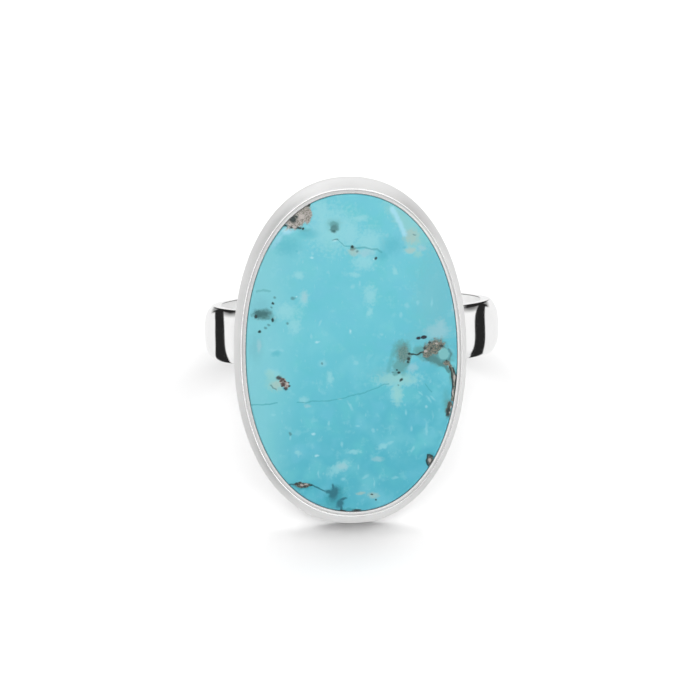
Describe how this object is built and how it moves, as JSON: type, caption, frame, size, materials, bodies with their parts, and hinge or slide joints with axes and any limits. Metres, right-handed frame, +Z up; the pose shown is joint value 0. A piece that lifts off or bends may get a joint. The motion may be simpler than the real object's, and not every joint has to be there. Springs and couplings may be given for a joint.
{
  "type": "adjustable ring with an oval stone",
  "caption": "Finger ring with an open band that can be bent to size, and a large oval turquoise in a plain bezel; it lies on its side.",
  "frame": {"origin": "on the surface that the ring lies on, under the middle of its box", "axes": "+Z up; the stone faces -Y and upwards; the finger hole leans from +Z towards +Y; X runs across the ring"},
  "size_m": [0.0198, 0.0248, 0.0204],
  "materials": {
    "polished_silver": "high polish",
    "turquoise": "polished, with brown matrix patches and fine veins"
  },
  "bodies": {
    "root": {"band_and_bezel": "polished_silver", "turquoise_stone": "turquoise"}
  },
  "joints": []
}
